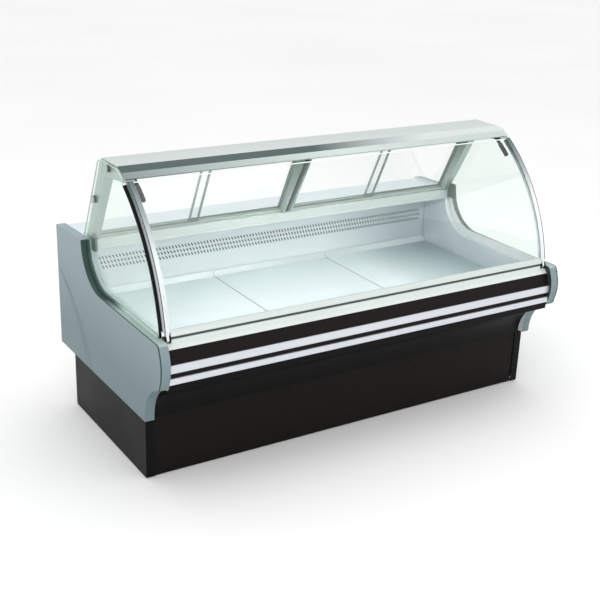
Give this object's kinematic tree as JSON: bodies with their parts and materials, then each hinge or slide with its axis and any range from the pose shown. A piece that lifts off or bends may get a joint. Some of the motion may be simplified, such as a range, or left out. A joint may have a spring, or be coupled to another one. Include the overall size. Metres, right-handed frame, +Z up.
{
  "type": "refrigerated deli case",
  "caption": "Serve-over chilled display counter with a curved tilting front glass, glass sides, sliding rear doors, stainless well and a black plinth.",
  "frame": {"origin": "middle of the footprint, on the floor plane under the levelling feet", "axes": "+X along the case, to the customer's right hand as seen from the front; -Y towards the customer; +Z up"},
  "size_m": [2, 1.054, 1.207],
  "materials": {
    "galvanised": "galvanised grey",
    "black_rubber": "matt",
    "black_paint": "satin black powder coat",
    "black_plastic": "matt moulded",
    "compressor_black": "semi gloss black",
    "coil_alu": "thin pressed fins",
    "copper": "drawn copper",
    "foam": "foamed insulation",
    "stainless": "brushed",
    "stripe_alu": "satin anodised",
    "white_rail": "white gloss",
    "panel_grey": "grey-blue moulded, fine grain",
    "canopy_alu": "satin anodised",
    "fascia_dark": "dark greenish grey",
    "bracket_alu": "satin",
    "bright_trim": "bright",
    "glass_green": "green tinted, polished",
    "glass_clear": "clear tempered",
    "lamp_white": "white diffuser",
    "rotor_grey": "moulded",
    "switch_green": "moulded green"
  },
  "bodies": {
    "case": {"base_frame": "galvanised", "levelling_feet": "black_rubber", "plinth_sides": "black_paint", "kick_plate": "black_paint", "rear_grille": "black_paint", "compressor": "compressor_black", "condenser_coil": "coil_alu", "condenser_shroud": "black_plastic", "pipework": "copper", "tub_insulation": "foam", "tub_liner": "stainless", "back_panel": "galvanised", "front_apron": "black_plastic", "bumper_rails": "stripe_alu", "front_band": "black_plastic", "front_top_rail": "white_rail", "end_panel_left": "panel_grey", "end_panel_right": "panel_grey", "worktop": "stainless", "rear_sill": "stripe_alu", "door_track_upper": "stripe_alu", "end_brackets": "bracket_alu", "mid_post": "bracket_alu", "post_clamps": "black_plastic", "canopy_top": "canopy_alu", "canopy_fascia": "fascia_dark", "canopy_front_rail": "canopy_alu", "lamp_housing": "white_rail", "lamp_tube": "lamp_white", "side_glass_left": "glass_green", "side_glass_right": "glass_green", "side_channels": "stripe_alu", "glass_seals": "black_rubber", "hinge_blocks": "black_plastic", "top_catches": "black_rubber", "deck_supports": "galvanised", "back_air_panel": "stainless", "return_grille": "stainless", "evaporator_coil": "coil_alu", "evaporator_shroud": "galvanised", "control_panel": "black_plastic"},
    "front_glass_unit": {"front_glass": "glass_clear", "glass_end_frames": "bright_trim", "glass_foot_profile": "bright_trim"},
    "condenser_rotor": {"condenser_fan": "rotor_grey"},
    "evaporator_rotor_1": {"evaporator_fan_1": "rotor_grey"},
    "evaporator_rotor_2": {"evaporator_fan_2": "rotor_grey"},
    "switch_main": {"rocker_main": "switch_green"},
    "switch_lamp": {"rocker_lamp": "black_plastic"},
    "door_1": {"door_glass_1": "glass_clear", "door_frame_1": "stripe_alu"},
    "door_2": {"door_glass_2": "glass_clear", "door_frame_2": "stripe_alu"},
    "door_3": {"door_glass_3": "glass_clear", "door_frame_3": "stripe_alu"},
    "door_4": {"door_glass_4": "glass_clear", "door_frame_4": "stripe_alu"},
    "pan_1": {"deck_pan_1": "stainless"},
    "pan_2": {"deck_pan_2": "stainless"},
    "pan_3": {"deck_pan_3": "stainless"}
  },
  "joints": [
    {"name": "front_glass_tilt", "type": "hinge", "parent": "case", "child": "front_glass_unit", "pos_m": [0, -0.464, 0.642], "axis": [1, 0, 0], "range_deg": [0, 55]},
    {"name": "door_1_slide", "type": "slide", "parent": "case", "child": "door_1", "axis": [1, 0, 0], "range_m": [0, 0.42]},
    {"name": "door_2_slide", "type": "slide", "parent": "case", "child": "door_2", "axis": [1, 0, 0], "range_m": [-0.42, 0]},
    {"name": "door_3_slide", "type": "slide", "parent": "case", "child": "door_3", "axis": [1, 0, 0], "range_m": [0, 0.42]},
    {"name": "door_4_slide", "type": "slide", "parent": "case", "child": "door_4", "axis": [1, 0, 0], "range_m": [-0.42, 0]},
    {"name": "pan_1_lift", "type": "slide", "parent": "case", "child": "pan_1", "axis": [0, 0, 1], "range_m": [0, 0.15]},
    {"name": "pan_2_lift", "type": "slide", "parent": "case", "child": "pan_2", "axis": [0, 0, 1], "range_m": [0, 0.15]},
    {"name": "pan_3_lift", "type": "slide", "parent": "case", "child": "pan_3", "axis": [0, 0, 1], "range_m": [0, 0.15]},
    {"name": "condenser_spin", "type": "hinge", "parent": "case", "child": "condenser_rotor", "pos_m": [0.33, 0.302, 0.156], "axis": [0, 1, 0], "continuous": true},
    {"name": "evaporator_spin_1", "type": "hinge", "parent": "case", "child": "evaporator_rotor_1", "pos_m": [-0.3, -0.178, 0.4], "axis": [0, 1, 0], "continuous": true},
    {"name": "evaporator_spin_2", "type": "hinge", "parent": "case", "child": "evaporator_rotor_2", "pos_m": [0.3, -0.178, 0.4], "axis": [0, 1, 0], "continuous": true},
    {"name": "rocker_main_tilt", "type": "hinge", "parent": "case", "child": "switch_main", "pos_m": [0.6, 0.509, 0.685], "axis": [1, 0, 0], "range_deg": [-8, 8]},
    {"name": "rocker_lamp_tilt", "type": "hinge", "parent": "case", "child": "switch_lamp", "pos_m": [0.64, 0.509, 0.685], "axis": [1, 0, 0], "range_deg": [-8, 8]}
  ]
}
